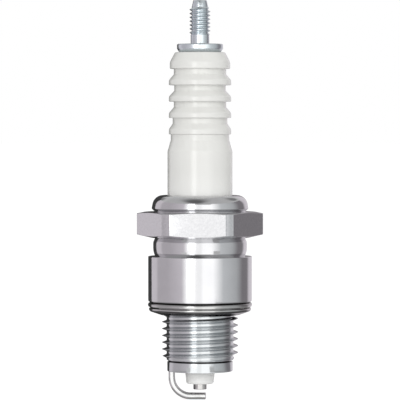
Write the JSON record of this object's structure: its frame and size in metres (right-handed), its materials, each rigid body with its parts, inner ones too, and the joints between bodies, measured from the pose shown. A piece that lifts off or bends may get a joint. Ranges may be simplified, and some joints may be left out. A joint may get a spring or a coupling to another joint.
{
  "type": "spark plug",
  "caption": "Spark plug with a threaded hex shell, a ribbed white ceramic insulator, a bare terminal stud, a captive folded gasket and a bent ground electrode.",
  "frame": {"origin": "on the plug's axis, in the plane of the shell's gasket seat (the underside of the collar)", "axes": "+Z along the plug's axis towards the terminal, the ground electrode's leg at -X, one flat of the hexagon facing -Y"},
  "size_m": [0.0232, 0.0208, 0.073],
  "materials": {
    "plated_steel": "gloss",
    "gasket_steel": "gloss",
    "strap_nickel": "satin",
    "glazed_ceramic": "gloss",
    "terminal_steel": "gloss",
    "nickel_alloy": "satin",
    "copper": "satin",
    "conducting_glass": "satin",
    "carbon_glass": "matte",
    "packing_steel": "satin",
    "talc": "matte"
  },
  "bodies": {
    "plug": {"shell": "plated_steel", "ground_electrode": "strap_nickel", "insulator": "glazed_ceramic", "terminal_stud": "terminal_steel", "centre_electrode": "nickel_alloy", "copper_core": "copper", "lower_glass_seal": "conducting_glass", "upper_glass_seal": "conducting_glass", "resistor": "carbon_glass", "seat_packing": "packing_steel", "lower_packing_ring": "packing_steel", "upper_packing_ring": "packing_steel", "talc_fill": "talc"},
    "gasket": {"gasket": "gasket_steel"}
  },
  "joints": [
    {"name": "gasket_turn", "type": "hinge", "parent": "plug", "child": "gasket", "pos_m": [0, 0, -0.0001], "axis": [0, 0, 1], "continuous": true}
  ]
}
